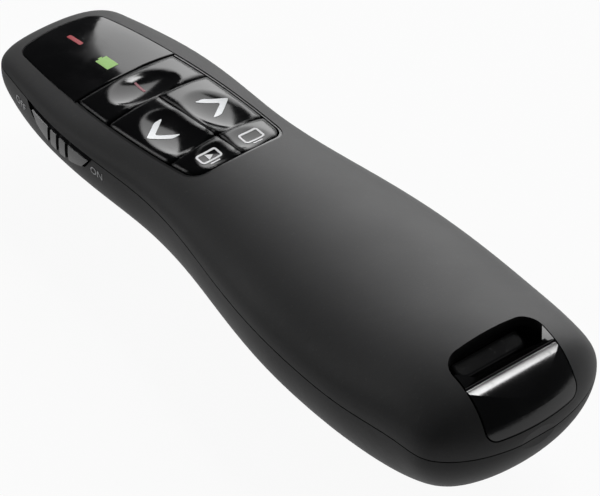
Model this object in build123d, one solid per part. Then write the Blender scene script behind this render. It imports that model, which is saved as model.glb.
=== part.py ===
"""A wireless presentation clicker, in millimetres.

+Y points to the laser nose, +X to the right, +Z up.  The origin is on the table under the
middle of the body, which rests on the flat land of its battery door.
Every piece is one STEP file, parts/NODE.step.
"""
import os

from math import asin, cos, pi, sin
from scipy.interpolate import CubicSpline

from build123d import *

# ---------------------------------------------------------------- driving dimensions
# outer body: a rounded hull drawn as cross sections along its length
body_length = 115.5
# section places as shares of the length, from the tail (0) to the nose (1)
STATIONS = (0.0, 0.08, 0.18, 0.30, 0.42, 0.54, 0.66, 0.78, 0.90, 1.0)
HALF_WIDTH = (16.0, 17.25, 18.6, 18.9, 17.55, 15.05, 14.0, 14.55, 12.85, 10.4)
SEAM_HEIGHT = (16.5, 17.35, 16.9, 16.9, 17.1, 17.6, 17.6, 17.3, 16.75, 15.9)
CROWN_RISE = (10.1, 10.15, 9.35, 8.6, 8.2, 6.65, 5.35, 3.7, 2.5, 2.5)     # top above the seam
KEEL_DROP = (10.8, 15.05, 17.05, 17.5, 17.05, 14.35, 12.2, 11.45, 11.45, 11.2)  # belly below it
tail_round_plan, tail_plan_power = 7.6, 2.0       # how the tail closes, seen from above
nose_round_plan, nose_plan_power = 5.45, 2.65
tail_round_side, tail_side_power = 12.4, 2.0     # and seen from the side
nose_round_side, nose_side_power = 13.75, 2.0
end_cap = 0.15              # depth of the curve that the small flat end caps cut off
crown_power_tail, crown_power_nose = 2.0, 2.0     # roundness of the upper sections
keel_power_tail, keel_power_nose = 2.0, 2.8       # roundness of the lower sections

wall = 1.6                  # shell thickness
seam_gap = 0.2              # shadow line between the shells
seam_lip = 0.9              # thickness of the lip behind the shadow line
lip_reach = 1.2             # how far the lip stands above and below the seam
lip_gap = 0.35              # from the walls, which lean in above and below the seam
flange_drop = 0.3           # extra depth of the key frame's flange under the shell's wall
gap = 0.25                  # clearance round a piece that moves
skin_gap = 0.05             # clearance between fixed pieces with curved faces

# key field on the crown: window, laser button, two page buttons, two small buttons
nose_margin = 2.45          # from the nose to the field's front edge
window_length = 18.1        # window behind the nose, buttons behind it
laser_key_length, page_key_length, small_key_length = 8.0, 14.3, 6.8
field_front_half, field_mid_half, field_rear_half = 7.7, 10.1, 9.0
field_front_radius, field_rear_radius = 3.0, 3.4
field_bow = 1.2             # bow of the front edge; the rear edge bows by field_rear_bow
field_rear_bow = 0.9
window_thickness = 0.85
key_thickness = 1.8
key_gap = 0.3               # gap between buttons
key_edge, window_edge = 0.4, 0.25       # rounding of their upper edges
page_corner = 0.6           # rounding of the page buttons' upright edges
key_travel = 0.6
rim = 0.4                   # thin rim of the key frame round the buttons
plate_thickness = 0.7       # key frame's guide plate
plate_depth = key_thickness + key_travel + 0.3
rim_flange = 1.2
laser_scoop = (7.0, 3.9, 1.0)            # half width, half length and depth of each dish
page_dish = (4.5, 6.6, 0.75)
small_dish = (3.7, 2.7, 0.35)
stem_radius = 1.4           # stem under each button
stem_gap = 0.25

# light holes under the window and the clear guide that fills them
gauge_from_nose, gauge_width, gauge_length = 16.55, 2.2, 3.0
mark_from_nose, mark_width, mark_length = 7.95, 0.9, 3.4
guide_drop, guide_thickness, guide_foot_radius = 0.25, 0.9, 0.9
guide_half_width, guide_margin = 2.4, 0.5
lamp_width, lamp_length, lamp_height = 1.6, 0.8, 0.7

# main board and what sits on it
board_top = 13.3
board_thickness = 1.2
board_half_width = 10.2
board_room = 1.0            # between the battery cradle and the board
board_front_from_nose = 17.35
tact_size, tact_height = 5.2, 3.0
tact_bore_depth = 1.6
page_key_x, small_key_x = 5.2, 4.6
post_radius = 2.0
post_rear_x, post_front_x = 8.0, 5.6
post_margin = 2.2           # from the board's ends to the posts
chip_width, chip_length, chip_height = 4.8, 4.6, 0.9
crystal_width, crystal_length, crystal_height = 3.2, 2.5, 0.7
strand_width, strand_height, strand_length, strand_turns = 0.5, 0.1, 2.0, 4
screw_radius, screw_head_radius, screw_head_height = 0.8, 1.5, 0.9
screw_length = 5.0

# power slide on the left wall
slot_from_nose, slot_length = 13.15, 17.6
slide_slot_low = 13.5       # lowest point of the leaf-shaped slot
slide_slot_slant, slide_slot_rise = 1.5, 1.3     # slope of the slot's ends, rise of its corners
slide_travel = 2.0
slide_floor_x = -12.7       # flat floor of the slot
slide_knob_proud = 0.45
slide_boss_depth, slide_boss_margin = 1.2, 1.5
slide_rib_width, slide_rib_depth, slide_rib_pitch = 0.8, 0.7, 2.35
lever_z = 14.7
lever_width, lever_height, lever_reach = 2.0, 1.2, 3.2
lever_overlap = 1.3         # of the lever's tip over the switch
switch_width, switch_half_length, switch_cover = 3.4, 4.0, 0.6

# laser module in the nose
laser_z = 12.6
laser_radius = 2.9
laser_length, laser_from_nose = 10.0, 5.75
laser_bore_radius = 1.9
laser_seat_radius, laser_seat_depth = 2.1, 2.2   # where the diode sits
diode_flange, diode_can_radius, diode_can, diode_pin_radius = 1.0, 1.5, 0.8, 0.22
diode_pin_reach, diode_pitch = 1.2, 1.0
lens_thickness, lens_radius = 0.8, 3.1
bezel_radius, bezel_hole_radius = 2.8, 1.7
saddle_start, saddle_length = 1.0, 7.0

# battery compartment
cell_radius, cell_body_length, cell_nub_radius, cell_nub_length = 5.1, 43.4, 1.9, 1.0
cell_spread = 5.45          # each cell's axis from the middle
cell_z = 11.5
cell_from_tail = 12.95
contact_thickness = 0.4
spring_length, spring_wire, spring_big, spring_small = 2.5, 0.38, 3.1, 2.2
spring_turns = 4
cradle_wall = 1.0
cradle_top_z = 16.9
cradle_top_thickness = 0.6
cradle_room = 0.3           # beside the cells
contact_half_width, contact_below, contact_above = 4.2, 4.0, 4.6

# battery door
door_half_width, door_length, door_from_tail, door_radius = 11.6, 45.0, 11.25, 4.0
door_top = 11.0             # higher than any of the door's curved edge
door_gap = 0.25
door_grip_start, door_grip_pitch, door_grip_count = 5.0, 1.5, 3
door_grip_width, door_grip_depth, door_grip_half = 0.7, 0.5, 4.5

# receiver, stowed over the cells, and its recess in the tail
recess_length = 12.45       # from the tail to the recess's front wall
recess_front_half, recess_tail_half, recess_radius = 8.55, 8.8, 3.0
recess_low_radius = 1.9     # lower corners of the opening
recess_wall = 1.0
receiver_bottom, receiver_top = 18.9, 23.8
receiver_half_width = 6.5
receiver_length = 31.75     # from the tail to the root of the plug
receiver_wall = 0.9
neck_top = 24.3             # finger grip in front of the ridge
neck_fall = 1.0             # by which its top falls towards the ridge
neck_corner = 1.6
neck_rear = 9.9             # distances from the tail
groove_rear = 7.45
groove_floor = 21.8
ridge_from_tail, ridge_z = 7.05, 24.9
arm_from_tail = 9.5         # tips of the head's two arms beside the groove
groove_half, groove_flare = 6.4, 8.3     # half widths of the groove at the ridge and at the tips
ridge_edge, neck_edge = 0.45, 0.7        # rounding of the ridge and of the grip's rear edge
panel_mid = (4.55, 24.35)   # points of the panel's arc behind the ridge
panel_end = (1.75, 22.2)
receiver_split = 20.9       # plane between the receiver's two halves
usb_width, usb_height, usb_length, usb_wall = 12.0, 4.5, 12.0, 0.3
usb_tongue_thickness, usb_tongue_setback = 1.9, 0.6
usb_window_x, usb_window_size, usb_window_start = 3.0, (2.0, 2.4), 4.5
usb_pad_x, usb_pad_width, usb_pad_thickness = (-3.5, -1.0, 1.0, 3.5), 1.0, 0.2
usb_pad_long, usb_pad_short, usb_pad_setback = 7.4, 6.4, 1.2
receiver_board_thickness = 0.8
rail_thickness = 0.8
notch_gap = 0.25

body_half = body_length / 2
crown_floor = 12.0          # columns for pieces of the crown start here, clear of the belly
far = 60.0                  # beyond every piece

# places along the body, from its two ends
field_front = body_half - nose_margin
window_rear = field_front - window_length
laser_rear = window_rear - laser_key_length
page_rear = laser_rear - page_key_length
field_rear = page_rear - small_key_length
laser_key_y = (window_rear + laser_rear) / 2
page_key_y = (laser_rear + page_rear) / 2
small_key_y = (page_rear + field_rear) / 2
gauge_y, mark_y = body_half - gauge_from_nose, body_half - mark_from_nose
board_front = body_half - board_front_from_nose
lamp_y = board_front - lamp_length / 2 - 0.2
slide_slot_front = body_half - slot_from_nose
slide_slot_rear = slide_slot_front - slot_length
slide_knob_rear = slide_slot_rear + gap
slide_knob_front = slide_slot_front - slide_travel - gap
lever_y = (slide_knob_rear + slide_knob_front) / 2
laser_front_y = body_half - laser_from_nose
laser_rear_y = laser_front_y - laser_length
cell_rear_y = -body_half + cell_from_tail
cell_front_y = cell_rear_y + cell_body_length
cradle_rear = cell_rear_y - spring_length - contact_thickness - cradle_wall - 2 * skin_gap
cradle_front = cell_front_y + spring_length + contact_thickness + 2 * skin_gap
board_rear = cradle_front + cradle_wall + board_room
post_rear_y, post_front_y = board_rear + post_margin, board_front - post_margin
door_rear = -body_half + door_from_tail
door_front = door_rear + door_length
recess_front = -body_half + recess_length
receiver_front = -body_half + receiver_length
ridge_y = -body_half + ridge_from_tail


# ---------------------------------------------------------------- hull
def eased(value, low, high):
    """0 below low, 1 above high, smooth between."""
    t = min(max((value - low) / (high - low), 0), 1)
    return t * t * (3 - 2 * t)


def closing(distance, reach, power):
    """Share of the full size at this distance from an end of the hull."""
    t = 1 - min(max(distance, 0), reach) / reach
    return (1 - t ** power) ** (1 / power)


half_width_at = CubicSpline(STATIONS, HALF_WIDTH, bc_type="natural")
seam_at = CubicSpline(STATIONS, SEAM_HEIGHT, bc_type="natural")
crown_at = CubicSpline(STATIONS, CROWN_RISE, bc_type="natural")
keel_at = CubicSpline(STATIONS, KEEL_DROP, bc_type="natural")


def hull_sizes(y, inset=0.0):
    """Half width, seam height, crown rise and keel drop of the skin `inset` inside the hull."""
    s = y / body_length + 0.5
    tail = y + body_half - inset + end_cap
    nose = body_half - y - inset + end_cap
    plan = closing(tail, tail_round_plan, tail_plan_power) * closing(nose, nose_round_plan,
                                                                     nose_plan_power)
    side = closing(tail, tail_round_side, tail_side_power) * closing(nose, nose_round_side,
                                                                     nose_side_power)
    return ((float(half_width_at(s)) - inset) * plan, float(seam_at(s)),
            (float(crown_at(s)) - inset) * side, (float(keel_at(s)) - inset) * side)


def crown_power(y):
    return crown_power_tail + (crown_power_nose - crown_power_tail) * eased(
        y / body_length + 0.5, 0.25, 0.70)


def keel_power(y):
    return keel_power_tail + (keel_power_nose - keel_power_tail) * eased(
        y / body_length + 0.5, 0.40, 0.75)


def crown_z(x, y, inset=0.0):
    """Height of the skin's upper side over (x, y)."""
    width, seam, rise, _ = hull_sizes(y, inset)
    return seam + rise * max(1 - abs(x / width) ** crown_power(y), 0) ** 0.5


def arc_points(y, width, seam, size, powers, way, start=0.0):
    """Points of one half section, left to right, from `start` above or below the seam."""
    across, along = powers
    first = asin((start / size) ** (along / 2))
    count = 12
    points = []
    for i in range(count + 1):
        a = first + (pi - 2 * first) * i / count
        side = -1 if i < count / 2 else 1
        x = side * width * abs(cos(a)) ** (2 / across)
        points.append((x, y, seam + way * size * sin(a) ** (2 / along)))
    return points


def arc_edge(y, inset, way, start=0.0):
    """Spline of one half section; `way` is +1 on the crown side and -1 on the keel side."""
    width, seam, rise, drop = hull_sizes(y, inset)
    size, powers = (rise, (crown_power(y), 2)) if way > 0 else (drop, (keel_power(y),) * 2)
    return Spline(arc_points(y, width, seam, size, powers, way, start))


def hull_places(inset):
    """Places of the sections, close together where the ends round off."""
    ends = (0, 0.4, 1.4, 3.2, 6.0, 10.0)
    low, high = -body_half + inset, body_half - inset
    middle = 9
    span = (high - low - 2 * ends[-1]) / middle
    places = [low + d for d in ends] + [low + ends[-1] + span * i for i in range(1, middle)]
    return places + [high - d for d in reversed(ends)]


def hull(inset=0.0):
    """The solid inside the skin that lies `inset` within the outer skin."""
    return loft([Face(Wire([arc_edge(y, inset, 1), arc_edge(y, inset, -1)]))
                 for y in hull_places(inset)])


def half_hull(inset, base, way):
    """Half of the hull: the crown (+1) or the keel (-1), closed `base` above the seam."""
    sections = []
    for y in hull_places(inset):
        arc = arc_edge(y, inset, way, max(way * base, 0))
        left, right = arc @ 0, arc @ 1
        z = float(seam_at(y / body_length + 0.5)) + base
        low_left, low_right = Vector(left.X, y, z), Vector(right.X, y, z)
        edges = [arc]
        if way * base < 0:
            edges += [Line(right, low_right), Line(low_right, low_left), Line(low_left, left)]
        else:
            edges.append(Line(right, left))
        sections.append(Face(Wire(edges)))
    return loft(sections)


def band(inset, low, high):
    """Upright band round the seam, from `low` to `high` above it."""
    sections = []
    for y in hull_places(inset):
        width, seam, _, _ = hull_sizes(y, inset)
        corners = [(x, y, seam + z) for x, z in ((-width, low), (width, low), (width, high),
                                                 (-width, high))]
        sections.append(Face(Polyline(*corners, close=True)))
    return loft(sections)


def block(x, y, z):
    """Box from three (low, high) pairs."""
    size = (x[1] - x[0], y[1] - y[0], z[1] - z[0])
    return Pos((x[0] + x[1]) / 2, (y[0] + y[1]) / 2, (z[0] + z[1]) / 2) * Box(*size)


def rod(x, y, z, radius, length):
    """Upright cylinder standing on z."""
    return Pos(x, y, z) * Cylinder(radius, length, align=(Align.CENTER, Align.CENTER, Align.MIN))


def rod_y(x, y, z, radius, length):
    """Cylinder lying along +Y from y."""
    return Pos(x, y, z) * Rot(-90, 0, 0) * Cylinder(
        radius, length, align=(Align.CENTER, Align.CENTER, Align.MIN))


def prism(face, low=crown_floor, high=far):
    """Upright prism over a face in the XY plane; by default it reaches only the crown."""
    return extrude(Pos(0, 0, low) * face, amount=high - low, dir=(0, 0, 1))


parts = {}


def add(name, shape):
    solids = shape.solids()
    parts[name] = solids[0] if len(solids) == 1 else Compound(children=list(solids))


skins = {}


def skin(inset):
    """Hull at an inset, made once."""
    key = round(inset, 4)
    if key not in skins:
        skins[key] = hull(inset)
    return skins[key]


# ---------------------------------------------------------------- plan outlines
def field_face(grow=0.0):
    """Plan of the key field, grown or shrunk by `grow`."""
    front, rear = field_front + grow, field_rear - grow
    front_x, mid_x, rear_x = (half + grow for half in (field_front_half, field_mid_half,
                                                       field_rear_half))
    mid_y = (front + rear) / 2
    front_side_y, rear_side_y = front - field_bow, rear + field_rear_bow
    wire = Wire([
        ThreePointArc((-front_x, front_side_y), (0, front), (front_x, front_side_y)),
        ThreePointArc((front_x, front_side_y), (mid_x, mid_y), (rear_x, rear_side_y)),
        ThreePointArc((rear_x, rear_side_y), (0, rear), (-rear_x, rear_side_y)),
        ThreePointArc((-rear_x, rear_side_y), (-mid_x, mid_y), (-front_x, front_side_y))])
    face = Face(wire)
    corners = face.vertices()
    face = fillet(corners.filter_by(lambda v: v.Y > mid_y), field_front_radius + grow)
    rear_corners = face.vertices().filter_by(lambda v: v.Y < rear_side_y + 1e-3).filter_by(
        lambda v: abs(abs(v.X) - rear_x) < 1e-3)
    return fillet(rear_corners, field_rear_radius + grow)


def strip(low_y, high_y, low_x=-30.0, high_x=30.0):
    """Tall box over a stretch of the plan, clear of the belly."""
    return block((low_x, high_x), (low_y, high_y), (crown_floor, far))


def door_face(grow=0.0):
    """Plan of the battery door."""
    width = 2 * (door_half_width + grow)
    length = door_front - door_rear + 2 * grow
    middle = (door_front + door_rear) / 2
    return Pos(0, middle) * RectangleRounded(width, length, door_radius + grow)


def recess_face(grow=0.0):
    """Plan of the tail recess, open past the tail."""
    front_x, tail_x = recess_front_half + grow, recess_tail_half + grow
    front, tail = recess_front + grow, -body_half - 4
    wire = Wire([Line((-front_x, front), (front_x, front)), Line((front_x, front), (tail_x, tail)),
                 Line((tail_x, tail), (-tail_x, tail)), Line((-tail_x, tail), (-front_x, front))])
    face = Face(wire)
    return fillet(face.vertices().filter_by(lambda v: v.Y > front - 1e-3), recess_radius + grow)


def recess_prism(grow=0.0):
    """The recess as a prism with rounded lower corners."""
    low = receiver_bottom - notch_gap - grow
    shape = prism(recess_face(grow), low, far)
    sides = shape.edges().filter_by(lambda e: e.center().Z < low + 1e-3 and abs((e % 0.5).Y) > 0.99)
    return fillet(sides, recess_low_radius + grow)


def slot_face(rear, front, shrink=0.0, lift=0.0):
    """Leaf-shaped side outline of the power slide in the YZ plane, `lift` higher at its top."""
    low = slide_slot_low + shrink
    middle = (slide_slot_rear + slide_slot_front) / 2
    rear_z, front_z = (float(seam_at(y / body_length + 0.5)) - seam_gap / 2 - gap
                       for y in (rear, front))
    low_rear = (0, rear + slide_slot_slant, low + slide_slot_rise)
    low_front = (0, front - slide_slot_slant, low + slide_slot_rise)
    top_rear, top_front = (0, rear, rear_z + lift), (0, front, front_z + lift)
    edges = [ThreePointArc(low_front, (0, middle, low), low_rear),
             Line(low_rear, (0, rear, rear_z)), Line(top_rear, top_front),
             Line((0, front, front_z), low_front)]
    if lift:
        edges += [Line((0, rear, rear_z), top_rear), Line(top_front, (0, front, front_z))]
    return Face(Wire(edges))


def layer(column, top, bottom):
    """The part of a column between two depths under the crown."""
    return (column & (Pos(0, 0, -top) * skin(0.0))) - Pos(0, 0, -bottom) * skin(0.0)


# ---------------------------------------------------------------- shells
field = prism(field_face())
recess = recess_prism()
button_zone = strip(field_rear - 2, window_rear)
window_zone = strip(window_rear, body_half)
gauge_plan = Pos(0, gauge_y) * Rectangle(gauge_width, gauge_length)
mark_plan = Pos(0, mark_y) * Rectangle(mark_width, mark_length)


def make_top_shell():
    top = half_hull(0, seam_gap / 2, 1) - half_hull(wall, -5, 1)
    pocket = (field & window_zone) - Pos(0, 0, -window_thickness - skin_gap) * skin(0.0)
    half = receiver_half_width + gap
    receiver_room = block((-half, half), (recess_front - 1, receiver_front + usb_length + 1),
                          (crown_floor, receiver_top + gap))
    return top - [field & button_zone, pocket, prism(gauge_plan), prism(mark_plan), recess,
                  receiver_room]


def slide_boss(grow=0.0):
    """Block behind the floor of the slide's slot."""
    margin = slide_boss_margin + grow
    return block((slide_floor_x - grow - 0.2, slide_floor_x + slide_boss_depth + grow),
                 (slide_slot_rear - margin, slide_slot_front + margin),
                 (slide_slot_low - margin, far))


def make_bottom_shell():
    boss = slide_boss() & half_hull(wall / 2, -seam_gap / 2, -1)
    posts = [rod(x, y, 0, post_radius, board_top - board_thickness) & skin(wall / 2)
             for x, y in post_places()]
    slot = extrude(slot_face(slide_slot_rear, slide_slot_front, lift=2.0), amount=40,
                   dir=(-1, 0, 0))
    slot -= block((slide_floor_x, 10), (0, far), (0, far))
    lever_slot = block((-20, 0), (lever_y - lever_width / 2 - gap,
                                  lever_y + lever_width / 2 + slide_travel + gap),
                       (lever_z - lever_height / 2 - gap, lever_z + lever_height / 2 + gap))
    screw_holes = [rod(x, y, board_top - board_thickness - screw_length + 0.8, screw_radius,
                       screw_length) for x, y in post_places()]
    laser_hole = rod_y(0, laser_front_y - 4, laser_z, bezel_radius + skin_gap, 20)
    doorway = prism(door_face(), -5, door_top)
    floor = block((-40, 40), (-80, 80), (-20, 0))
    bottom = half_hull(0, -seam_gap / 2, -1) - half_hull(wall, 5, -1)
    bottom = bottom + [boss, *posts]
    return bottom - [slot, lever_slot, laser_hole, doorway, floor, *screw_holes]


def make_seam_lip():
    """Lip behind the shadow line, which keeps the shells in line."""
    inset = wall + lip_gap
    lip = band(inset, -lip_reach, lip_reach) - band(inset + seam_lip, -2 * lip_reach,
                                                    2 * lip_reach)
    slide_room = block((-30, 0), (slide_slot_rear - 2, slide_slot_front + 2), (0, 40))
    bezel_room = rod_y(0, laser_front_y, laser_z, bezel_radius + gap, far)
    return (lip & skin(wall + skin_gap)) - [slide_room, bezel_room, recess_prism(gap)]


def post_places():
    return [(side * x, y) for side in (-1, 1)
            for x, y in ((post_rear_x, post_rear_y), (post_front_x, post_front_y))]


def make_battery_door():
    """Curved panel whose underside is cut flat where the clicker rests."""
    door = (prism(door_face(-door_gap), 0, door_top) & skin(0.0)) - skin(wall)
    for i in range(door_grip_count):
        y = door_rear + door_grip_start + i * door_grip_pitch
        groove = block((-door_grip_half, door_grip_half),
                       (y - door_grip_width / 2, y + door_grip_width / 2), (-5, 30))
        door -= groove - skin(door_grip_depth)
    return door


# ---------------------------------------------------------------- keys
def rounded_top(shape, radius):
    """The shape with the edges of its upper face rounded."""
    faces = [face for face in shape.faces() if face.normal_at(face.center()).Z > 0.5]
    return fillet(max(faces, key=lambda face: face.center().Z).edges(), radius)


def key(low_y, high_y, low_x, high_x, corner=0.0):
    """Button cut from the crown between plan limits, clear of the frame and its neighbours."""
    half = key_gap / 2
    column = prism(field_face(-rim - gap)) & strip(low_y + half, high_y - half,
                                                   low_x + half, high_x - half)
    if corner:
        upright = column.edges().filter_by(lambda edge: abs((edge % 0.5).Z) > 0.99)
        column = fillet(upright, corner)
    return rounded_top(layer(column, 0.0, key_thickness).solid(), key_edge)


def dish(x, y, half_width, half_length, depth):
    """Shallow oval hollow, cut by an ellipsoid four times as tall as it is deep."""
    share = (1 - 0.75 ** 2) ** 0.5
    rise = 4 * depth
    ball = scale(Sphere(1), by=(half_width / share, half_length / share, rise))
    return Pos(x, y, crown_z(x, y) + rise - depth) * ball


def stem(x, y):
    """Stem from a button's underside to the switch under it."""
    top = crown_z(x, y) - key_thickness / 2
    bottom = board_top + tact_height - tact_bore_depth + key_travel + 0.1
    return rod(x, y, bottom, stem_radius, top - bottom) & (Pos(0, 0, -key_thickness) * skin(0.0))


KEYS = {
    "laser": ((laser_rear, window_rear), (-30.0, 30.0), (0.0, laser_key_y)),
    "page_back": ((page_rear, laser_rear), (-30.0, 0.0), (-page_key_x, page_key_y)),
    "page_forward": ((page_rear, laser_rear), (0.0, 30.0), (page_key_x, page_key_y)),
    "play": ((field_rear - 10, page_rear), (-30.0, 0.0), (-small_key_x, small_key_y)),
    "screen": ((field_rear - 10, page_rear), (0.0, 30.0), (small_key_x, small_key_y)),
}


def make_keys():
    for name, (ys, xs, (x, y)) in KEYS.items():
        paging = name.startswith("page")
        body = key(*ys, *xs, corner=page_corner if paging else 0.0)
        sizes = page_dish if paging else small_dish
        body -= dish(x, y, *(laser_scoop if name == "laser" else sizes))
        add(name + "_button", body)
        add(name + "_stem", stem(x, y))
        base = block((x - tact_size / 2, x + tact_size / 2), (y - tact_size / 2, y + tact_size / 2),
                     (board_top, board_top + tact_height))
        base -= rod(x, y, board_top + tact_height - tact_bore_depth, stem_radius + stem_gap, 10)
        add(name + "_switch", base)


def make_key_frame():
    """Guide plate under the buttons with a thin rim round them."""
    zone = strip(field_rear - 10, window_rear - key_gap / 2)
    bottom = plate_depth + plate_thickness
    column = zone & prism(field_face(-skin_gap))
    frame = layer(column, 0.15, bottom)
    frame -= layer(zone & prism(field_face(-rim)), -2.0, plate_depth)
    frame += layer(zone & prism(field_face(rim_flange)), wall + flange_drop, bottom) - prism(
        field_face(-rim))
    holes = [rod(x, y, 0, stem_radius + stem_gap, far) for _, _, (x, y) in KEYS.values()]
    return frame - [*holes, slide_boss(skin_gap)]


def make_window():
    window = layer(prism(field_face(-skin_gap)) & window_zone, 0.0, window_thickness)
    return rounded_top(window.solid(), window_edge)


# ---------------------------------------------------------------- light guide
def make_light_guide():
    """Clear bar under the window with a raised head in each light hole."""
    deep = wall + guide_drop
    low, high = gauge_y - gauge_length / 2, mark_y + mark_length / 2
    guide = layer(strip(low - guide_margin, high + guide_margin, -guide_half_width,
                        guide_half_width), deep, deep + guide_thickness)
    for x, y, width, length in ((0, gauge_y, gauge_width, gauge_length),
                                (0, mark_y, mark_width, mark_length)):
        head = Pos(x, y) * Rectangle(width - 4 * skin_gap, length - 4 * skin_gap)
        guide += layer(prism(head), window_thickness + 2 * skin_gap, deep + guide_thickness / 2)
    foot = rod(0, lamp_y, board_top + lamp_height + 0.2, guide_foot_radius, 10)
    return guide + (foot & (Pos(0, 0, -deep - guide_thickness / 2) * skin(0.0)))


# ---------------------------------------------------------------- board
def make_board():
    board = block((-board_half_width, board_half_width), (board_rear, board_front),
                  (board_top - board_thickness, board_top))
    board = board & skin(wall + 0.4)
    for x, y in post_places():
        board -= rod(x, y, 0, screw_radius + 0.1, far)
    return board


def make_screws():
    for i, (x, y) in enumerate(post_places(), 1):
        low = board_top - board_thickness - screw_length + 1.0
        screw = rod(x, y, low, screw_radius, board_top - low)
        screw += rod(x, y, board_top, screw_head_radius, screw_head_height)
        head_z = board_top + screw_head_height
        screw -= block((x - 1.0, x + 1.0), (y - 0.15, y + 0.15), (head_z - 0.4, head_z + 1))
        screw -= block((x - 0.15, x + 0.15), (y - 1.0, y + 1.0), (head_z - 0.4, head_z + 1))
        add(f"board_screw_{i}", screw)


def on_board(x, y, width, length, height):
    """Block standing on the board, centred on (x, y)."""
    return block((x - width / 2, x + width / 2), (y - length / 2, y + length / 2),
                 (board_top, board_top + height))


def make_electronics():
    chip_y = (page_key_y + laser_key_y) / 2
    crystal_y = (page_key_y + small_key_y) / 2
    add("radio_chip", on_board(0, chip_y, chip_width, chip_length, chip_height))
    add("crystal", on_board(0, crystal_y, crystal_width, crystal_length, crystal_height))
    add("gauge_lamp", on_board(0, lamp_y, lamp_width, lamp_length, lamp_height))
    pitch = 3 * strand_width
    rear = board_rear + post_margin - strand_length / 2
    pieces = []
    for i in range(strand_turns):
        x = (i - strand_turns / 2) * pitch
        y = rear + (strand_length - strand_width if i % 2 == 0 else 0)
        for piece in (((x, x + strand_width), (rear, rear + strand_length)),
                      ((x, x + pitch), (y, y + strand_width))):
            pieces.append(block(*piece, (board_top, board_top + strand_height)))
    add("antenna", pieces[0] + pieces[1:])


# ---------------------------------------------------------------- power slide
def make_power_slide():
    """Knob in the side slot, its lever and the slide switch that it moves."""
    outline = slot_face(slide_knob_rear, slide_knob_front, gap)
    knob = extrude(outline, amount=40, dir=(-1, 0, 0)) & skin(-slide_knob_proud)
    knob -= block((slide_floor_x - gap, 10), (0, far), (0, far))
    for i in (-1, 0, 1):
        y = lever_y + i * slide_rib_pitch
        groove = block((-30, 0), (y - slide_rib_width / 2, y + slide_rib_width / 2), (0, 40))
        knob -= groove - skin(slide_rib_depth - slide_knob_proud)
    add("power_knob", knob)
    tip = slide_floor_x + lever_reach
    lever = block((slide_floor_x - gap - 0.3, tip),
                  (lever_y - lever_width / 2, lever_y + lever_width / 2),
                  (lever_z - lever_height / 2, lever_z + lever_height / 2))
    add("power_lever", lever - knob)
    base_x = tip - lever_overlap
    base = block((base_x, base_x + switch_width),
                 (lever_y - switch_half_length, lever_y + switch_half_length + slide_travel),
                 (board_top, lever_z + lever_height / 2 + gap + switch_cover))
    base = base & (Pos(0, 0, -plate_depth - plate_thickness - gap) * skin(0.0))
    base -= block((base_x - 1, tip + gap),
                  (lever_y - lever_width / 2 - gap, lever_y + lever_width / 2 + slide_travel + gap),
                  (lever_z - lever_height / 2 - gap, far))
    add("power_switch", base)


# ---------------------------------------------------------------- laser
def make_laser():
    seat_y = laser_rear_y + laser_seat_depth
    barrel = rod_y(0, laser_rear_y, laser_z, laser_radius, laser_length)
    barrel -= rod_y(0, seat_y, laser_z, laser_bore_radius, laser_length)
    barrel -= rod_y(0, laser_rear_y - 1, laser_z, laser_seat_radius, laser_seat_depth + 1)
    add("laser_barrel", barrel)
    can_y = seat_y - diode_can
    diode = rod_y(0, can_y, laser_z, diode_can_radius, diode_can)
    diode += rod_y(0, can_y - diode_flange, laser_z, laser_seat_radius, diode_flange)
    pin_y = laser_rear_y - diode_pin_reach
    for i in (-1, 0, 1):
        diode += rod_y(i * diode_pitch, pin_y, laser_z, diode_pin_radius, can_y - pin_y)
    add("laser_diode", diode)
    lens_y = laser_front_y - laser_seat_depth
    lens = rod_y(0, lens_y, laser_z, laser_bore_radius, lens_thickness)
    dome = Pos(0, lens_y + 2 * lens_thickness - lens_radius, laser_z) * Sphere(lens_radius)
    lens += dome & rod_y(0, lens_y + lens_thickness / 2, laser_z, laser_bore_radius,
                         2 * lens_thickness)
    add("laser_lens", lens)
    bezel = rod_y(0, laser_front_y, laser_z, bezel_radius, far) & skin(2 * skin_gap)
    bezel -= rod_y(0, laser_front_y - 1, laser_z, bezel_hole_radius, far)
    add("laser_bezel", bezel)
    half, saddle_y = laser_radius + 0.8, laser_rear_y + saddle_start
    saddle = block((-half, half), (saddle_y, saddle_y + saddle_length), (0, laser_z - 0.5))
    saddle = saddle & skin(wall + skin_gap)
    saddle -= rod_y(0, laser_rear_y - 1, laser_z, laser_radius + skin_gap, laser_length + 2)
    add("laser_saddle", saddle)


# ---------------------------------------------------------------- batteries
def make_batteries():
    for name, side in (("left", -1), ("right", 1)):
        x = side * cell_spread
        nub_y = cell_front_y if side < 0 else cell_rear_y - cell_nub_length
        cell = rod_y(x, cell_rear_y, cell_z, cell_radius, cell_body_length)
        cell = fillet(cell.edges().filter_by(GeomType.CIRCLE), 0.4)
        add(f"cell_{name}", cell)
        add(f"cell_{name}_nub", rod_y(x, nub_y, cell_z, cell_nub_radius, cell_nub_length))
        plate_y = (cell_front_y + cell_nub_length if side < 0
                   else cell_rear_y - cell_nub_length - contact_thickness)
        plate = block((x - contact_half_width, x + contact_half_width),
                      (plate_y, plate_y + contact_thickness),
                      (cell_z - contact_below, cell_z + contact_above))
        add(f"contact_{name}", plate)
        end = cell_rear_y if side < 0 else cell_front_y
        add(f"spring_{name}", make_spring(x, end, side))


def make_spring(x, y, way):
    """Conical spring, pressed flat turn on turn, between a cell and its wall plate."""
    pitch = (spring_length - 2 * spring_wire) / (spring_turns - 1)
    turns = []
    for i in range(spring_turns):
        radius = spring_small + (spring_big - spring_small) * i / (spring_turns - 1)
        place = Pos(x, y + way * (spring_wire + i * pitch), cell_z)
        turns.append(place * Rot(90, 0, 0) * Torus(radius, spring_wire))
    return turns[0] + turns[1:]


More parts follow.
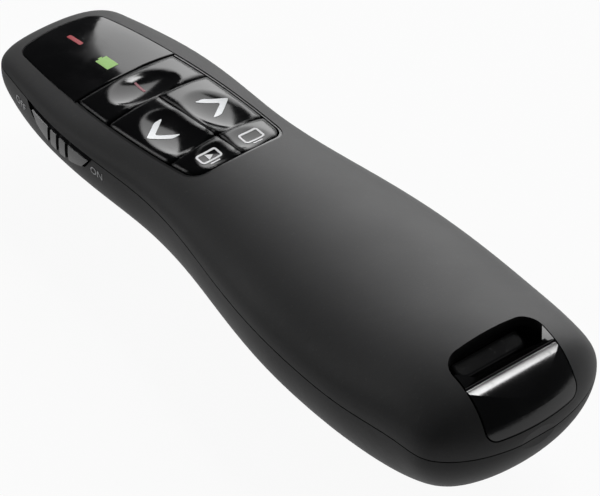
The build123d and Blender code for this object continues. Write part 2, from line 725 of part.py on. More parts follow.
def make_cradle():
    """Walls and roof round the cells, open below for the door, with the receiver's bed on top."""
    ends = (cradle_rear, cradle_front + cradle_wall)
    side_x = cell_spread + cell_radius + cradle_room
    outer = side_x + cradle_wall
    cradle = block((-outer, outer), ends, (cradle_top_z, cradle_top_z + cradle_top_thickness))
    for low in (cradle_rear, cradle_front):
        cradle += block((-outer, outer), (low, low + cradle_wall), (0, cradle_top_z))
    for side in (-1, 1):
        cradle += block(sorted((side * side_x, side * outer)), ends, (cell_z - 2, cradle_top_z))
    cradle += block((-0.25, 0.25), ends, (cell_z + 1.5, cradle_top_z))
    bed_half = receiver_half_width + gap + rail_thickness
    bed_rear = recess_front + recess_wall + 0.5
    cradle += block((-bed_half, bed_half), (bed_rear, cradle_front),
                    (cradle_top_z, receiver_bottom - gap))
    for side in (-1, 1):
        cradle += block(sorted((side * (bed_half - rail_thickness), side * bed_half)),
                        (bed_rear, receiver_front), (cradle_top_z, receiver_top - 1))
    return cradle & skin(wall + skin_gap)


# ---------------------------------------------------------------- receiver
def side_cut(*points):
    """Tall wall-to-wall cut above a line of (y, z) points, the middle ones on an arc."""
    ends = [(0, points[0][0], far), (0, points[-1][0], far)]
    line = [(0, y, z) for y, z in points]
    top = ThreePointArc(*line) if len(line) == 3 else Line(*line)
    face = Face(Wire([top, Line(line[-1], ends[1]), Line(ends[1], ends[0]),
                      Line(ends[0], line[0])]))
    return extrude(face, amount=20, dir=(1, 0, 0), both=True)


def make_receiver_head():
    """Rear of the receiver, which closes the body: a panel behind a ridge, with two short arms."""
    tail = -body_half
    tip_y, groove_y = tail + arm_from_tail, tail + groove_rear
    panel, end = ((tail + y, z) for y, z in (panel_mid, panel_end))
    under = side_cut((ridge_y, ridge_z), panel, end)
    half, flare = groove_half, groove_flare
    groove = Face(Polyline((-half, groove_y), (half, groove_y), (flare, tip_y), (flare, 0),
                           (-flare, 0), (-flare, tip_y), close=True))
    front = side_cut((groove_y, groove_floor), (ridge_y + 1e-3, ridge_z))
    head = (recess_prism(-gap) & skin(0.0)) & block((-20, 20), (tail - 5, tip_y), (0, far))
    head = head - [under, prism(groove, groove_floor), front & block((-half, half), (-far, 0),
                                                                      (0, far))]
    ridge = [edge for edge in head.edges() if (edge % 0.5).X ** 2 > 0.9
             and (edge @ 0.5 - Vector(0, ridge_y, ridge_z)).length < 0.3]
    return fillet(ridge, ridge_edge)


def make_neck():
    """Rounded grip in front of the groove, with a top that falls towards it."""
    half, neck_y = receiver_half_width, -body_half + neck_rear
    neck = block((-half, half), (neck_y, recess_front + recess_wall + 0.3),
                 (receiver_split, neck_top))
    neck -= side_cut((neck_y, neck_top - neck_fall), (recess_front, neck_top))
    corners = neck.edges().filter_by(Axis.Z).filter_by(lambda e: e.center().Y < neck_y + 1e-3)
    neck = fillet(corners, neck_corner)
    rear = neck.faces().sort_by(Axis.Y)[0].edges().sort_by(Axis.Z)[-1]
    return fillet(rear, neck_edge)


def make_receiver():
    """USB receiver stowed in the tail; its rear end closes the body."""
    half, neck_y = receiver_half_width, -body_half + neck_rear
    body = block((-half, half), (-body_half + receiver_wall, receiver_front),
                 (receiver_bottom, receiver_top)) & skin(0.0)
    body -= side_cut((-body_half - 1, groove_floor), (recess_front, groove_floor))
    body = body + make_neck() + make_receiver_head()
    w = receiver_wall
    room = block((-half + w, half - w), (neck_y + w, receiver_front - w),
                 (receiver_bottom + w, receiver_top - w))
    room -= side_cut((neck_y, groove_floor), (recess_front, groove_floor))
    body -= room
    lower = block((-20, 20), (-80, 0), (0, receiver_split))
    add("receiver_base", body & lower)
    add("receiver_cap", body - lower)
    plug_z = (receiver_bottom + receiver_top) / 2
    low, high = plug_z - usb_height / 2, plug_z + usb_height / 2
    plug_y = (receiver_front, receiver_front + usb_length)
    tongue_x = usb_width / 2 - usb_wall
    tube = block((-usb_width / 2, usb_width / 2), plug_y, (low, high))
    tube -= block((-tongue_x, tongue_x), (plug_y[0] - 1, plug_y[1] + 1),
                  (low + usb_wall, high - usb_wall))
    wide, long = usb_window_size
    window_y = plug_y[0] + usb_window_start
    for x in (-usb_window_x, usb_window_x):
        tube -= block((x - wide / 2, x + wide / 2), (window_y, window_y + long), (0, far))
    add("usb_shell", tube)
    tongue_top = low + usb_wall + usb_tongue_thickness
    add("usb_tongue", block((-tongue_x, tongue_x), (plug_y[0], plug_y[1] - usb_tongue_setback),
                            (low + usb_wall, tongue_top)))
    pads = []
    for x in usb_pad_x:
        long = usb_pad_long if abs(x) == max(usb_pad_x) else usb_pad_short
        end = plug_y[1] - usb_pad_setback
        pads.append(block((x - usb_pad_width / 2, x + usb_pad_width / 2), (end - long, end),
                          (tongue_top, tongue_top + usb_pad_thickness)))
    add("usb_contacts", pads[0] + pads[1:])
    board_half = half - w - 0.2
    board_z = receiver_bottom + w
    add("receiver_board", block((-board_half, board_half), (neck_y + w + 0.3, receiver_front - w - 0.3),
                                (board_z, board_z + receiver_board_thickness)))


def make_recess_frame():
    """Wall under the edge of the tail recess, open where the receiver passes."""
    low = receiver_bottom - notch_gap
    ring = prism(recess_face(recess_wall) - recess_face(), low, far)
    half = receiver_half_width + gap
    passage = block((-half, half), (recess_front - 1, recess_front + 2 * recess_wall),
                    (0, neck_top + gap))
    ring = (ring & skin(wall + skin_gap)) - passage
    return ring & strip(ridge_y, 0)


# ---------------------------------------------------------------- assembly
add("top_shell", make_top_shell())
add("bottom_shell", make_bottom_shell())
add("seam_lip", make_seam_lip())
add("battery_door", make_battery_door())
add("front_window", make_window())
add("key_frame", make_key_frame())
make_keys()
add("light_guide", make_light_guide())
add("main_board", make_board())
make_screws()
make_electronics()
make_power_slide()
make_laser()
add("battery_cradle", make_cradle())
make_batteries()
make_receiver()
add("recess_frame", make_recess_frame())

os.makedirs("parts", exist_ok=True)
for name, shape in parts.items():
    export_step(shape, f"parts/{name}.step")
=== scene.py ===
"""A wireless presentation clicker: finishes, printed marks, camera and light over its fixed frame."""
from math import cos, pi, radians, sin

import bpy
from mathutils import Matrix, Vector


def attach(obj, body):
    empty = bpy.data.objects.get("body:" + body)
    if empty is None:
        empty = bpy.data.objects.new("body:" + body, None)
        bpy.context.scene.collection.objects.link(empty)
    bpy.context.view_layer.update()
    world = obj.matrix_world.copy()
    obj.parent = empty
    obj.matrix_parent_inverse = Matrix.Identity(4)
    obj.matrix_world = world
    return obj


MM = 0.001

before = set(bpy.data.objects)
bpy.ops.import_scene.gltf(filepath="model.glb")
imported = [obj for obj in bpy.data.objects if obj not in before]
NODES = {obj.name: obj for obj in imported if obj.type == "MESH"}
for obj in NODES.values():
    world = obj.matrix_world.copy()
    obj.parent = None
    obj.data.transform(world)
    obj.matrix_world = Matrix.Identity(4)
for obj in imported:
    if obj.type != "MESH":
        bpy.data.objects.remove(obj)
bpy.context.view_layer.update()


# ---------------------------------------------------------------- finishes

BEVEL_SAMPLES = 12                    # rays that soften an edge in the finish


class Value:
    """A node socket that takes Python arithmetic, each operator adding its own Math node."""

    def __init__(self, finish, socket):
        self.finish = finish
        self.socket = socket

    def maths(self, operation, other):
        return self.finish.node("ShaderNodeMath", {"operation": operation}, [self, other])

    def __add__(self, other):
        return self.maths("ADD", other)

    def __mul__(self, other):
        return self.maths("MULTIPLY", other)

    __radd__ = __add__
    __rmul__ = __mul__

    def between(self, low, high):
        """0 below `low`, 1 above `high`, and smooth between them."""
        return self.finish.node("ShaderNodeMapRange", {"interpolation_type": "SMOOTHSTEP"},
                                [self, low, high, 0.0, 1.0])


class Finish:
    """A material and its nodes."""

    def __init__(self, name, **shader):
        self.material = bpy.data.materials.new(name)
        self.material.use_nodes = True
        self.tree = self.material.node_tree
        self.shader = self.tree.nodes["Principled BSDF"]
        self.place = self.node("ShaderNodeTexCoord", {}, [], "Object")
        for socket, value in shader.items():
            self.shader.inputs[socket.replace("_", " ")].default_value = value

    def node(self, kind, settings, inputs, output=None):
        """Adds a node, sets it up and fills its sockets in order or by name.

        It returns the output that is named, or else the first one.
        """
        node = self.tree.nodes.new(kind)
        for name, value in settings.items():
            setattr(node, name, value)
        sockets = [socket for socket in node.inputs if socket.enabled]
        pairs = inputs.items() if isinstance(inputs, dict) else zip(sockets, inputs)
        for socket, value in pairs:
            socket = node.inputs[socket] if isinstance(socket, str) else socket
            if isinstance(value, Value):
                self.tree.links.new(value.socket, socket)
            else:
                socket.default_value = value
        outputs = {out.name: out for out in node.outputs if out.enabled}
        return Value(self, outputs[output] if output else list(outputs.values())[0])

    def noise(self, size, detail=2.0, roughness=0.5, place=None):
        """Noise from 0 to 1 whose lumps are about `size` millimetres across."""
        return self.node("ShaderNodeTexNoise", {},
                         {"Vector": place or self.place, "Scale": 1 / (size * MM), "Detail": detail,
                          "Roughness": roughness}, "Fac")

    def stretched(self, x, y, z):
        """Object coordinates scaled by axis: a pattern runs along an axis that is scaled down."""
        return self.node("ShaderNodeMapping", {}, {"Vector": self.place, "Scale": (x, y, z)})

    def mixed(self, share, first, second):
        """A colour between two colours."""
        return self.node("ShaderNodeMix", {"data_type": "RGBA"},
                         {"Factor": share, "A": first, "B": second}, "Result")

    def feed(self, name, value):
        """Links a value to a socket of the shader."""
        self.tree.links.new(value.socket, self.shader.inputs[name])
        return self

    def relief(self, height, depth, strength, softened=0.0):
        """Feeds a height from 0 to 1 into the normal; `depth` and `softened` are in millimetres."""
        sockets = {"Strength": strength, "Distance": depth * MM, "Height": height}
        if softened:
            sockets["Normal"] = self.node("ShaderNodeBevel", {"samples": BEVEL_SAMPLES},
                                          [softened * MM])
        return self.feed("Normal", self.node("ShaderNodeBump", {}, sockets))


def linear(red, green, blue):
    """A display colour, 0 to 255, as linear light."""
    def one(level):
        level /= 255
        return level / 12.92 if level <= 0.04045 else ((level + 0.055) / 1.055) ** 2.4
    return (one(red), one(green), one(blue), 1.0)


def darker(colour, share):
    """The same colour with only this share of its light."""
    return tuple(share * part for part in colour[:3]) + (1.0,)


def soft_touch(name, level, gloss):
    """Rubbery matt paint with a fine spark-eroded grain, faint mottling and hand-polished patches."""
    finish = Finish(name, Specular_IOR_Level=gloss)
    grain = finish.noise(0.22, detail=3.0, roughness=0.6)
    mottle = finish.noise(9.0, detail=3.0)
    speck = finish.noise(0.5, roughness=0.7).between(0.62, 0.74)
    dark = linear(level - 5, level - 5, level - 4)
    light = linear(level + 6, level + 6, level + 6)
    body = finish.mixed(mottle * 0.55 + grain * 0.45, dark, light)
    finish.feed("Base Color", finish.mixed(speck * 0.25, body, linear(level + 26, level + 26, level + 25)))
    finish.feed("Roughness", 0.47 + finish.noise(14.0) * 0.12 + grain * 0.06)
    return finish.relief(grain, depth=0.02, strength=0.55)


def moulded(name, colour, roughness, grain=0.3, depth=0.008):
    """Moulded plastic: slow flow marks and a fine grain, `grain` mm across and `depth` mm deep."""
    finish = Finish(name)
    fine = finish.noise(grain, detail=3.0)
    flow = finish.noise(6.0, place=finish.stretched(1, 0.35, 1))
    finish.feed("Base Color", finish.mixed(flow * 0.7 + fine * 0.3, darker(colour, 0.78), colour))
    finish.feed("Roughness", (roughness - 0.05) + flow * 0.1)
    return finish.relief(fine, depth, strength=0.5)


def glossy(name, level, roughness, mirror, smudge=0.06, softened=0.0):
    """Polished black: a clear hard face with faint finger smudges and hairline scratches."""
    finish = Finish(name, Specular_IOR_Level=mirror)
    film = finish.noise(7.0, detail=4.0, roughness=0.6).between(0.42, 0.72)
    scratches = finish.noise(0.5, place=finish.stretched(1, 0.04, 1)).between(0.68, 0.72)
    deep = linear(level, level, level + 1)
    haze = linear(level + 9, level + 9, level + 10)
    finish.feed("Base Color", finish.mixed(film * 0.4, deep, haze))
    finish.feed("Roughness", roughness + film * smudge + scratches * 0.08)
    return finish.relief(finish.noise(2.5), depth=0.002, strength=0.35, softened=softened)


def metal(name, colour, roughness, brushed=(1, 0.05, 1)):
    """Plated, drawn or turned metal: its fine lines run along the axes that `brushed` scales down."""
    finish = Finish(name, Metallic=1.0)
    lines = finish.noise(0.12, detail=3.0, place=finish.stretched(*brushed))
    tarnish = finish.noise(2.2, detail=3.0)
    finish.feed("Base Color", finish.mixed(tarnish.between(0.35, 0.8) * 0.7, colour, darker(colour, 0.62)))
    finish.feed("Roughness", (roughness - 0.06) + lines * 0.12 + tarnish * 0.06)
    return finish.relief(lines, depth=0.004, strength=0.4)


def printed(name, colour, roughness=0.5):
    """Pad-printed ink, slightly uneven in its colour, its sheen and its thickness."""
    finish = Finish(name, Specular_IOR_Level=0.4)
    uneven = finish.noise(0.35, detail=3.0)
    finish.feed("Base Color", finish.mixed(uneven, darker(colour, 0.86), colour))
    finish.feed("Roughness", (roughness - 0.05) + uneven * 0.1)
    return finish.relief(uneven, depth=0.004, strength=0.4)


def circuit_board(name):
    """Green solder mask with paler copper tracks under it."""
    finish = Finish(name)
    wander = finish.noise(3.0)
    tracks = finish.node("ShaderNodeTexWave", {"wave_type": "BANDS", "bands_direction": "X"},
                         {"Vector": finish.place, "Scale": 260.0, "Distortion": 3.0,
                          "Detail": 1.0}, "Fac").between(0.72, 0.8)
    mask = finish.mixed(wander, linear(18, 70, 40), linear(26, 92, 52))
    finish.feed("Base Color", finish.mixed(tracks * 0.6, mask, linear(60, 130, 70)))
    finish.feed("Roughness", 0.3 + wander * 0.15)
    return finish.relief(tracks, depth=0.03, strength=0.6)


def lens(name, colour, roughness):
    """Tinted glass or clear moulding."""
    finish = Finish(name, Transmission_Weight=0.55, IOR=1.49)
    cloud = finish.noise(1.5)
    finish.feed("Base Color", finish.mixed(cloud, darker(colour, 0.8), colour))
    finish.feed("Roughness", roughness + cloud * 0.05)
    return finish.relief(cloud, depth=0.002, strength=0.3)


BAND_START, BAND_EDGE = -14.0 * MM, 0.2 * MM     # where a cell's copper band begins, and its soft edge


def cell_wrap(name):
    """A battery's printed sleeve: dark, with a copper-coloured band round its front end."""
    finish = Finish(name, Specular_IOR_Level=0.5)
    along = finish.node("ShaderNodeSeparateXYZ", {}, [finish.place], "Y")
    band = along.between(BAND_START, BAND_START + BAND_EDGE)
    film = finish.noise(3.0, detail=3.0)
    dark = finish.mixed(film, linear(26, 27, 30), linear(36, 37, 40))
    finish.feed("Base Color", finish.mixed(band, dark, linear(176, 104, 58)))
    finish.feed("Roughness", 0.28 + film * 0.12)
    return finish.relief(film, depth=0.01, strength=0.3)


FINISHES = {
    "soft_touch": soft_touch("soft touch paint", level=46, gloss=0.28),
    # the same soft touch paint, ten levels darker, for the lower shell and battery door: painted shade on
    # the underside, as both shells are one paint
    "soft_touch_painted_shade": soft_touch("soft touch paint with painted shade below", level=36, gloss=0.18),
    "inner_plastic": moulded("inner black plastic", linear(34, 34, 36), 0.5),
    "gloss_black": glossy("polished black", level=9, roughness=0.06, mirror=0.2),
    "key_black": glossy("polished key black", level=9, roughness=0.08, mirror=0.24, softened=1.3),
    "satin_black": moulded("satin black plastic", linear(26, 26, 27), 0.34, grain=0.25, depth=0.005),
    "polished_tail": glossy("polished tail plastic", level=13, roughness=0.15, mirror=0.42, smudge=0.03),
    "satin_grey": moulded("satin grey plastic", linear(50, 50, 52), 0.24, grain=0.25, depth=0.005),
    "clear_guide": lens("clear guide", linear(226, 230, 232), 0.12),
    "board_green": circuit_board("circuit board"),
    "chip_black": moulded("chip resin", linear(30, 31, 33), 0.45, grain=0.2, depth=0.01),
    "tin": metal("tin plate", linear(198, 200, 204), 0.28),
    "copper": metal("bare copper", linear(204, 128, 92), 0.3),
    "brass": metal("turned brass", linear(202, 166, 96), 0.26, brushed=(0.05, 1, 0.05)),
    "gold": metal("gold flash", linear(222, 184, 104), 0.22),
    "lens_glass": lens("lens glass", linear(190, 40, 44), 0.04),
    "lamp_green": printed("green lamp", linear(140, 186, 96), 0.4),
    "cell_wrap": cell_wrap("battery sleeve"),
    "tongue_white": moulded("white tongue", linear(216, 216, 212), 0.4),
    "white_ink": printed("white ink", linear(236, 238, 240)),
    "faint_ink": printed("faint grey ink", linear(196, 196, 198)),
    "pale_ink": printed("pale grey ink", linear(224, 224, 226)),
    "red_ink": printed("dark red ink", linear(156, 34, 44), 0.35),
    "rose_ink": printed("rose red ink", linear(126, 36, 56), 0.35),
}


def dress(nodes, finish):
    """Gives carried-over nodes their finish."""
    for name in nodes:
        NODES[name].data.materials.clear()
        NODES[name].data.materials.append(FINISHES[finish].material)


KEY_NAMES = ["laser", "page_back", "page_forward", "play", "screen"]


def dress_nodes():
    """Every node of the frame gets a finish by what it is made of, except that the lower shell and battery
    door get a darker copy of the soft touch paint as painted shade.
    """
    dress(["top_shell"], "soft_touch")
    # the lower shell and battery door are darker only as painted shade
    dress(["bottom_shell", "battery_door"], "soft_touch_painted_shade")
    dress(["seam_lip", "battery_cradle", "laser_saddle"], "inner_plastic")
    dress(["front_window"], "gloss_black")
    dress([f"{name}_button" for name in KEY_NAMES], "key_black")
    dress([f"{name}_stem" for name in KEY_NAMES], "inner_plastic")
    dress(["key_frame", "recess_frame", "laser_bezel"], "satin_black")
    dress(["receiver_base", "receiver_cap"], "polished_tail")
    dress(["power_knob", "power_lever"], "satin_grey")
    dress(["light_guide"], "clear_guide")
    dress(["main_board", "receiver_board"], "board_green")
    dress(["radio_chip", "power_switch"], "chip_black")
    dress([f"{name}_switch" for name in KEY_NAMES], "chip_black")
    dress(["crystal", "usb_shell", "spring_left", "spring_right"], "tin")
    dress([f"board_screw_{number}" for number in (1, 2, 3, 4)], "tin")
    dress(["antenna"], "copper")
    dress(["laser_barrel"], "brass")
    dress(["laser_diode", "usb_contacts", "contact_left", "contact_right"], "gold")
    dress(["laser_lens"], "lens_glass")
    dress(["gauge_lamp"], "lamp_green")
    dress(["cell_left", "cell_right"], "cell_wrap")
    dress(["cell_left_nub", "cell_right_nub"], "tin")
    dress(["usb_tongue"], "tongue_white")


# ---------------------------------------------------------------- modelling by hand

SMOOTH_ANGLE = radians(35)            # edges sharper than this stay sharp


def start(name):
    """Names the new primitive, which is the active object and is in edit mode afterwards."""
    piece = bpy.context.object
    piece.name = name
    piece.data.name = name
    bpy.ops.object.mode_set(mode="EDIT")
    bpy.ops.mesh.select_all(action="DESELECT")
    return piece


def choose(piece, test, kind="vertices"):
    """Selects the vertices or edges of the piece in edit mode whose middle passes the test."""
    modes = {"vertices": "VERT", "edges": "EDGE"}
    bpy.ops.mesh.select_mode(type=modes[kind])
    bpy.ops.mesh.select_all(action="DESELECT")
    bpy.ops.object.mode_set(mode="OBJECT")
    points = piece.data.vertices
    for part in getattr(piece.data, kind):
        if kind == "vertices":
            middle = part.co
        else:
            middle = sum((points[i].co for i in part.vertices), Vector()) / len(part.vertices)
        part.select = test(middle)
    bpy.ops.object.mode_set(mode="EDIT")


def finished(piece, finish, body):
    """Leaves edit mode, puts the piece's place into its mesh, and gives it its finish and body."""
    bpy.ops.object.mode_set(mode="OBJECT")
    bpy.ops.object.transform_apply(location=True, rotation=True, scale=True)
    piece.data.materials.clear()
    piece.data.materials.append(FINISHES[finish].material)
    bpy.ops.object.shade_smooth_by_angle(angle=SMOOTH_ANGLE)
    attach(piece, body)
    bpy.ops.object.select_all(action="DESELECT")


def add_modifier(piece, kind, **settings):
    """Adds a modifier and applies it."""
    modifier = piece.modifiers.new(kind.title(), kind)
    for name, value in settings.items():
        setattr(modifier, name, value)
    bpy.ops.object.modifier_apply(modifier=modifier.name)


INK_LIFT = 0.03 * MM                  # from a face to the middle of the ink printed on it
INK_THICKNESS = INK_LIFT * 1.6
FINE = 0.25 * MM                      # longest edge of a print that follows a curved face
HALVINGS = 6                          # how often its edges are halved at most


def lay_on(piece, node, axis="Z"):
    """Divides a flat print finely, drops it along an axis onto a node and gives it thickness."""
    bpy.ops.mesh.select_all(action="SELECT")
    bpy.ops.mesh.quads_convert_to_tris()
    for _ in range(HALVINGS):
        bpy.ops.object.mode_set(mode="OBJECT")
        points = piece.data.vertices
        long_edges = [edge.index for edge in piece.data.edges
                      if (points[edge.vertices[0]].co - points[edge.vertices[1]].co).length > FINE]
        bpy.ops.object.mode_set(mode="EDIT")
        if not long_edges:
            break
        bpy.ops.mesh.select_mode(type="EDGE")
        bpy.ops.mesh.select_all(action="DESELECT")
        bpy.ops.object.mode_set(mode="OBJECT")
        for index in long_edges:
            piece.data.edges[index].select = True
        bpy.ops.object.mode_set(mode="EDIT")
        bpy.ops.mesh.subdivide(number_cuts=1)
        bpy.ops.mesh.select_all(action="SELECT")
        bpy.ops.mesh.quads_convert_to_tris()
    bpy.ops.object.mode_set(mode="OBJECT")
    bpy.ops.object.transform_apply(location=True, rotation=True, scale=True)
    add_modifier(piece, "SHRINKWRAP", target=NODES[node], wrap_method="PROJECT",
                 use_project_x=axis == "X", use_project_z=axis == "Z",
                 use_positive_direction=axis == "X", use_negative_direction=axis == "Z",
                 offset=INK_LIFT)
    add_modifier(piece, "SOLIDIFY", thickness=INK_THICKNESS, offset=0.0)
    bpy.ops.object.mode_set(mode="EDIT")


# ---------------------------------------------------------------- printed marks

PRINT_HEIGHT = 35 * MM                # prints start above the object and drop onto it
NEAR = 0.1 * MM                       # how far a part chosen by its place may lie from that place


def plate(name, centre, width, length, corner):
    """A flat rectangle above the object, rounded where `corner` isn't 0, in edit mode."""
    bpy.ops.mesh.primitive_plane_add(size=1, location=(0, 0, 0))
    piece = start(name)
    bpy.ops.mesh.select_all(action="SELECT")
    bpy.ops.transform.resize(value=(width, length, 1))
    bpy.ops.transform.translate(value=(centre[0], centre[1], PRINT_HEIGHT))
    if corner:
        bpy.ops.mesh.bevel(offset=corner, segments=5, affect="VERTICES")
    return piece


TIP_X, ARM_X = 7.15 * MM, 3.9 * MM    # an arrow's tip and the ends of its arms, from the middle
TIP_Y, ARM_REACH = 21.85 * MM, 2.3 * MM
STROKE = 1.25 * MM                    # thickness of an arm
ARM_WIDTH = STROKE * 1.28             # the same across the key, because an arm is slanted
ARROW_CORNER = STROKE * 0.36


def page_arrow(name, side, key):
    """A rounded chevron pointing outwards on a page key: side is -1 left, 1 right."""
    bpy.ops.mesh.primitive_grid_add(x_subdivisions=1, y_subdivisions=2, size=1,
                                    location=(0, 0, 0))
    piece = start(name)
    bpy.ops.mesh.select_all(action="SELECT")
    bpy.ops.transform.resize(value=(ARM_WIDTH, 2 * ARM_REACH, 1))
    bpy.ops.transform.translate(value=(side * ARM_X, TIP_Y, PRINT_HEIGHT))
    choose(piece, lambda point: abs(point.y - TIP_Y) < NEAR)
    bpy.ops.transform.translate(value=(side * (TIP_X - ARM_X), 0, 0))
    choose(piece, lambda point: abs(point.y - TIP_Y) < NEAR, "edges")
    bpy.ops.mesh.dissolve_edges(use_verts=False)
    bpy.ops.mesh.select_all(action="SELECT")
    bpy.ops.mesh.bevel(offset=ARROW_CORNER, segments=5, affect="VERTICES")
    lay_on(piece, f"{key}_button")
    finished(piece, "white_ink", f"{key}_key")


PLAY_PLACE = (-4.05 * MM, 11.75 * MM)
SCREEN_PLACE = (3.95 * MM, 11.55 * MM)
FRAME_STROKE, FRAME_CORNER = 0.34 * MM, 0.55 * MM
TRIANGLE_RADIUS, TRIANGLE_CORNER = 0.78 * MM, 0.1 * MM
UNDERLINE_LENGTH, UNDERLINE_STROKE, UNDERLINE_CORNER = 1.8 * MM, 0.25 * MM, 0.1 * MM


def key_icon(name, place, width, length, key):
    """The outline of a little screen: a rounded frame left by an inset."""
    piece = plate(name, place, width, length, FRAME_CORNER)
    bpy.ops.mesh.select_all(action="SELECT")
    bpy.ops.mesh.inset(thickness=FRAME_STROKE)
    bpy.ops.mesh.delete(type="FACE")
    lay_on(piece, f"{key}_button")
    finished(piece, "pale_ink", f"{key}_key")


def play_triangle(place):
    """The play arrow inside the left icon, pointing to the clicker's right."""
    bpy.ops.mesh.primitive_circle_add(vertices=3, radius=TRIANGLE_RADIUS, fill_type="NGON",
                                      location=(place[0], place[1], PRINT_HEIGHT),
                                      rotation=(0, 0, -pi / 2))
    piece = start("play_triangle")
    bpy.ops.mesh.select_all(action="SELECT")
    bpy.ops.mesh.bevel(offset=TRIANGLE_CORNER, segments=3, affect="VERTICES")
    lay_on(piece, "play_button")
    finished(piece, "pale_ink", "play_key")


def underline(name, place, drop, key):
    """A short bar that lies `drop` behind the middle of an icon."""
    piece = plate(name, (place[0], place[1] - drop), UNDERLINE_LENGTH, UNDERLINE_STROKE,
                  UNDERLINE_CORNER)
    lay_on(piece, f"{key}_button")
    finished(piece, "pale_ink", f"{key}_key")


GAUGE_PLACE, GAUGE_SIZE = (-0.3 * MM, 41.35 * MM), (2.15 * MM, 3.05 * MM)
NUB_LENGTH = 0.35 * MM


def gauge_mark():
    """The green battery sign on the window, its nub toward the front."""
    piece = plate("gauge_sign", GAUGE_PLACE, *GAUGE_SIZE, corner=0.0)
    bpy.ops.mesh.subdivide(number_cuts=2)
    top_y = GAUGE_PLACE[1] + GAUGE_SIZE[1] / 2
    choose(piece, lambda point: abs(point.x - GAUGE_PLACE[0]) < NEAR
           and abs(point.y - top_y) < NEAR, "edges")
    bpy.ops.mesh.extrude_region_move(TRANSFORM_OT_translate={"value": (0, NUB_LENGTH, 0)})
    lay_on(piece, "front_window")
    finished(piece, "lamp_green", "handset")


def red_mark(name, node, body, finish, centre, width, length):
    """A short red line along the clicker."""
    piece = plate(name, centre, width, length, corner=width * 0.3)
    lay_on(piece, node)
    finished(piece, finish, body)


WORD_START = -30 * MM                 # words start left of the object and move onto its wall
SIZE_PER_CAPITAL = 1.42               # a text's size over the height of its capitals
WORD_MERGE = 0.005 * MM               # points of a letter nearer than this are one


def wall_word(name, word, middle_y, middle_z, height):
    """A word printed on the left wall beside the slide, read with the top up."""
    bpy.ops.object.select_all(action="DESELECT")
    bpy.ops.object.text_add(location=(WORD_START, middle_y, middle_z),
                            rotation=(pi / 2, 0, -pi / 2))
    text = bpy.context.object
    text.data.body = word
    text.data.size = height * SIZE_PER_CAPITAL
    text.data.align_x = "CENTER"
    text.data.align_y = "CENTER"
    text.data.resolution_u = 4
    bpy.ops.object.convert(target="MESH")
    piece = start(name)
    bpy.ops.mesh.select_all(action="SELECT")
    bpy.ops.mesh.remove_doubles(threshold=WORD_MERGE)
    lay_on(piece, "bottom_shell", "X")
    finished(piece, "faint_ink", "handset")


def print_marks():
    """Every print on the keys, the window and the left wall."""
    page_arrow("back_arrow", -1, "page_back")
    page_arrow("forward_arrow", 1, "page_forward")
    key_icon("play_screen_sign", PLAY_PLACE, width=3.9 * MM, length=2.2 * MM, key="play")
    play_triangle(PLAY_PLACE)
    underline("play_underline", PLAY_PLACE, drop=1.55 * MM, key="play")
    key_icon("blank_screen_sign", SCREEN_PLACE, width=3.7 * MM, length=2.4 * MM, key="screen")
    underline("blank_underline", SCREEN_PLACE, drop=1.6 * MM, key="screen")
    gauge_mark()
    red_mark("window_mark", "front_window", "handset", "red_ink",
             centre=(0, 49.8 * MM), width=0.8 * MM, length=3.4 * MM)
    red_mark("laser_mark", "laser_button", "laser_key", "rose_ink",
             centre=(0, 33.5 * MM), width=0.42 * MM, length=2.5 * MM)
    wall_word("off_word", "OFF", middle_y=46.9 * MM, middle_z=14.3 * MM, height=1.35 * MM)
    wall_word("on_word", "ON", middle_y=25.7 * MM, middle_z=15.4 * MM, height=1.3 * MM)


# ---------------------------------------------------------------- camera, floor and light

AZIMUTH, ELEVATION, ROLL = radians(-41.78), radians(41.80), radians(3.03)
VIEW_CENTRE = Vector((0, 0, -0.2 * MM))          # a point at the middle of the underside
DISTANCE = 623.98 * MM                           # of that point from the camera, along the view
SHIFT_RIGHT, SHIFT_DOWN = -3.87 * MM, 8.25 * MM  # of that point from the middle of the view
SENSOR_WIDTH, IMAGE_WIDTH, FOCAL_PIXELS = 36.0, 600, 4112.43


def toward(azimuth, elevation):
    """The direction of something seen from the clicker: azimuth 0 is behind it, 90 on its right."""
    return Vector((sin(azimuth) * cos(elevation), -cos(azimuth) * cos(elevation), sin(elevation)))


def camera_axes():
    """The camera's right, up and back directions, with its roll."""
    back = toward(AZIMUTH, ELEVATION)
    right = Vector((0, 0, 1)).cross(back).normalized()
    up = back.cross(right)
    tilted = cos(ROLL) * right + sin(ROLL) * up
    return tilted, cos(ROLL) * up - sin(ROLL) * right, back


def place_camera():
    """A camera behind the clicker, to its left and above it."""
    right, up, back = camera_axes()
    data = bpy.data.cameras.new("camera")
    data.sensor_width = SENSOR_WIDTH
    data.lens = SENSOR_WIDTH * FOCAL_PIXELS / IMAGE_WIDTH
    data.clip_start = 10 * MM
    camera = bpy.data.objects.new("camera", data)
    place = VIEW_CENTRE - SHIFT_RIGHT * right + SHIFT_DOWN * up + DISTANCE * back
    turn = Matrix((right, up, back)).transposed()
    camera.matrix_world = Matrix.Translation(place) @ turn.to_4x4()
    bpy.context.scene.collection.objects.link(camera)
    bpy.context.scene.camera = camera


WORLD_LEVEL, WORLD_COLOUR = 0.05, (0.94, 0.97, 1.0, 1.0)


def light_world():
    """A faint, slightly cool light from all round."""
    world = bpy.data.worlds.new("studio")
    world.use_nodes = True
    bpy.context.scene.world = world
    background = world.node_tree.nodes["Background"]
    background.inputs["Color"].default_value = WORLD_COLOUR
    background.inputs["Strength"].default_value = WORLD_LEVEL


FLOOR_SIZE, FLOOR_BELOW = 6, 0.05 * MM           # its side, and its gap under the underside
FLOOR_COLOUR, FLOOR_ROUGHNESS = (0.45, 0.45, 0.45, 1), 0.9
FLOOR_WHITE = 0.94                    # share of plain white over the lit floor, where it is seen


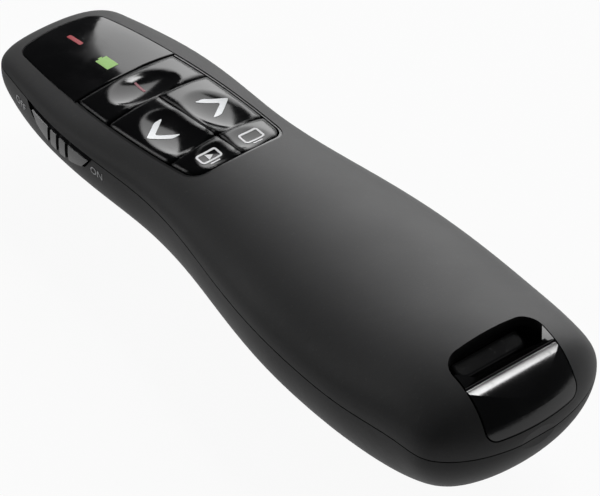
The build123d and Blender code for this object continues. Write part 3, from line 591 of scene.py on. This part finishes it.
def lay_floor():
    """A white floor: plain white for the camera, gloss and glass, with a soft shadow left in it."""
    bpy.ops.mesh.primitive_plane_add(size=FLOOR_SIZE, location=(0, 0, -FLOOR_BELOW))
    floor = bpy.context.object
    floor.name = "floor"
    material = bpy.data.materials.new("white floor")
    material.use_nodes = True
    tree = material.node_tree
    lit = tree.nodes["Principled BSDF"]
    lit.inputs["Base Color"].default_value = FLOOR_COLOUR
    lit.inputs["Roughness"].default_value = FLOOR_ROUGHNESS
    path = tree.nodes.new("ShaderNodeLightPath")
    seen = path.outputs["Is Camera Ray"]
    for ray in ("Is Glossy Ray", "Is Transmission Ray"):
        either = tree.nodes.new("ShaderNodeMath")
        either.operation = "MAXIMUM"
        tree.links.new(seen, either.inputs[0])
        tree.links.new(path.outputs[ray], either.inputs[1])
        seen = either.outputs[0]
    share = tree.nodes.new("ShaderNodeMath")
    share.operation = "MULTIPLY"
    share.inputs[1].default_value = FLOOR_WHITE
    tree.links.new(seen, share.inputs[0])
    white = tree.nodes.new("ShaderNodeEmission")
    white.inputs["Strength"].default_value = 1.0
    mix = tree.nodes.new("ShaderNodeMixShader")
    tree.links.new(share.outputs[0], mix.inputs["Fac"])
    tree.links.new(lit.outputs[0], mix.inputs[1])
    tree.links.new(white.outputs[0], mix.inputs[2])
    tree.links.new(mix.outputs[0], tree.nodes["Material Output"].inputs["Surface"])
    floor.data.materials.append(material)


LAMPS = (
    # name, azimuth and elevation it shines from in degrees, distance, width and depth in metres, watts
    ("key lamp", 118, 30, 1.0, 1.0, 0.75, 12.0),
    ("top lamp", 108, 60, 1.2, 0.3, 0.16, 4.6),
    ("left lamp", -138, 26, 1.3, 0.5, 0.5, 3.4),
)


def hang_lamps():
    """Soft rectangular lamps that face the clicker."""
    for name, azimuth, elevation, distance, width, depth, power in LAMPS:
        data = bpy.data.lights.new(name, "AREA")
        data.shape = "RECTANGLE"
        data.size = width
        data.size_y = depth
        data.energy = power
        lamp = bpy.data.objects.new(name, data)
        direction = toward(radians(azimuth), radians(elevation))
        lamp.location = direction * distance
        lamp.rotation_euler = direction.to_track_quat("Z", "Y").to_euler()
        bpy.context.scene.collection.objects.link(lamp)


bpy.context.scene.view_settings.view_transform = "Standard"
bpy.ops.object.select_all(action="DESELECT")
place_camera()
dress_nodes()
print_marks()
light_world()
lay_floor()
hang_lamps()
